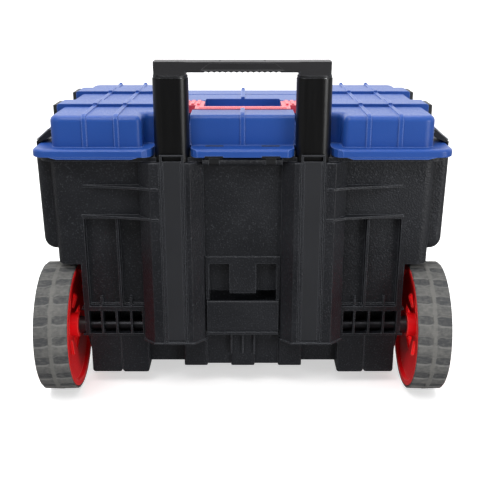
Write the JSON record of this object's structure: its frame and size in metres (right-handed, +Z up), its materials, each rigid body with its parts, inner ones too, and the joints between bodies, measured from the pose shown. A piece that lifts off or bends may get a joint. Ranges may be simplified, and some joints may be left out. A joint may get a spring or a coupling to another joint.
{
  "type": "rolling tool box",
  "caption": "Black plastic tool box on rear wheels with a ribbed blue hinged lid, folding carry handle, latches and a telescopic pull handle.",
  "frame": {"origin": "on the floor, in the middle of the box's footprint", "axes": "+Z up, -Y towards the latch side, +Y towards the wheels and pull handle, +X to the right when facing +Y"},
  "size_m": [0.552, 0.42, 0.459],
  "materials": {
    "tub_plastic": "pebbled black moulding",
    "strip_plastic": "fine grained black moulding",
    "rubber": "soft black rubber",
    "cap_rubber": "soft black caps",
    "steel": "zinc plated steel",
    "axle_black": "black oxide steel bar",
    "sleeve_black": "polished black",
    "black_plastic": "satin black moulding",
    "tyre": "worn grey rubber tread",
    "hub_red": "bright red moulding",
    "nylon": "natural nylon",
    "lid_blue": "satin blue moulding",
    "handle_red": "satin red moulding",
    "tube_alloy": "drawn alloy tube",
    "grip_plastic": "satin black moulding",
    "button_plastic": "satin dark grey moulding"
  },
  "bodies": {
    "tub": {"tub": "tub_plastic", "foot_pads": "rubber", "hinge_pins": "steel", "sleeve_left": "sleeve_black", "sleeve_right": "sleeve_black", "sleeve_plugs": "black_plastic", "column_strip_left": "strip_plastic", "column_strip_right": "strip_plastic", "axle": "axle_black", "axle_spacers": "black_plastic", "axle_push_nuts": "steel"},
    "wheel_left": {"tyre_left": "tyre", "hub_left": "hub_red", "hub_cap_left": "hub_red", "wheel_bush_left": "nylon"},
    "wheel_right": {"tyre_right": "tyre", "hub_right": "hub_red", "hub_cap_right": "hub_red", "wheel_bush_right": "nylon"},
    "lid": {"lid": "lid_blue", "lid_seal": "rubber", "band_end_caps": "cap_rubber", "hinge_clip_left": "black_plastic", "hinge_clip_right": "black_plastic", "carry_handle_pins": "steel", "front_latch_pins": "steel", "side_latch_pins": "steel"},
    "carry_handle": {"carry_handle": "handle_red"},
    "front_latch_left": {"front_latch_left": "black_plastic"},
    "front_latch_right": {"front_latch_right": "black_plastic"},
    "side_latch_left": {"side_latch_left": "black_plastic", "side_bail_left": "steel"},
    "side_latch_right": {"side_latch_right": "black_plastic", "side_bail_right": "steel"},
    "mid_stage": {"mid_tube_left": "tube_alloy", "mid_tube_right": "tube_alloy", "mid_tube_feet": "black_plastic", "mid_tube_collars": "black_plastic"},
    "grip": {"inner_tube_left": "tube_alloy", "inner_tube_right": "tube_alloy", "inner_tube_feet": "black_plastic", "grip_rear_shell": "grip_plastic", "grip_front_shell": "grip_plastic", "grip_screws": "steel", "button_springs": "steel"},
    "release": {"release_button": "button_plastic", "release_rods": "steel"},
    "lock_pins": {"lock_pins": "steel"}
  },
  "joints": [
    {"name": "lid_hinge", "type": "hinge", "parent": "tub", "child": "lid", "pos_m": [0, 0.152, 0.3325], "axis": [1, 0, 0], "range_deg": [-42, 0]},
    {"name": "carry_handle_hinge", "type": "hinge", "parent": "lid", "child": "carry_handle", "pos_m": [0, 0.008, 0.384], "axis": [1, 0, 0], "range_deg": [0, 95]},
    {"name": "mid_stage_slide", "type": "slide", "parent": "tub", "child": "mid_stage", "axis": [0, 0, 1], "range_m": [0, 0.24]},
    {"name": "grip_slide", "type": "slide", "parent": "mid_stage", "child": "grip", "axis": [0, 0, 1], "range_m": [0, 0.25]},
    {"name": "release_button_slide", "type": "slide", "parent": "grip", "child": "release", "axis": [0, 0, -1], "range_m": [0, 0.003], "stiffness_N_per_m": 600, "springref_m": -0.003, "deforming": ["button_springs"]},
    {"name": "lock_pins_slide", "type": "slide", "parent": "grip", "child": "lock_pins", "axis": [0, -1, 0], "range_m": [0, 0.003]},
    {"name": "wheel_left_spin", "type": "hinge", "parent": "tub", "child": "wheel_left", "pos_m": [-0.253, 0.12, 0.09], "axis": [1, 0, 0], "continuous": true},
    {"name": "wheel_right_spin", "type": "hinge", "parent": "tub", "child": "wheel_right", "pos_m": [0.253, 0.12, 0.09], "axis": [1, 0, 0], "continuous": true},
    {"name": "front_latch_left_hinge", "type": "hinge", "parent": "lid", "child": "front_latch_left", "pos_m": [-0.125, -0.2, 0.357], "axis": [-1, 0, 0], "range_deg": [0, 100]},
    {"name": "front_latch_right_hinge", "type": "hinge", "parent": "lid", "child": "front_latch_right", "pos_m": [0.125, -0.2, 0.357], "axis": [-1, 0, 0], "range_deg": [0, 100]},
    {"name": "side_latch_left_hinge", "type": "hinge", "parent": "lid", "child": "side_latch_left", "pos_m": [-0.2528, 0.09, 0.3635], "axis": [0, 1, 0], "range_deg": [0, 75]},
    {"name": "side_latch_right_hinge", "type": "hinge", "parent": "lid", "child": "side_latch_right", "pos_m": [0.2528, 0.09, 0.3635], "axis": [0, -1, 0], "range_deg": [0, 75]}
  ],
  "couplings": [
    {"joint": "lock_pins_slide", "follows": "release_button_slide", "ratio": 1}
  ]
}
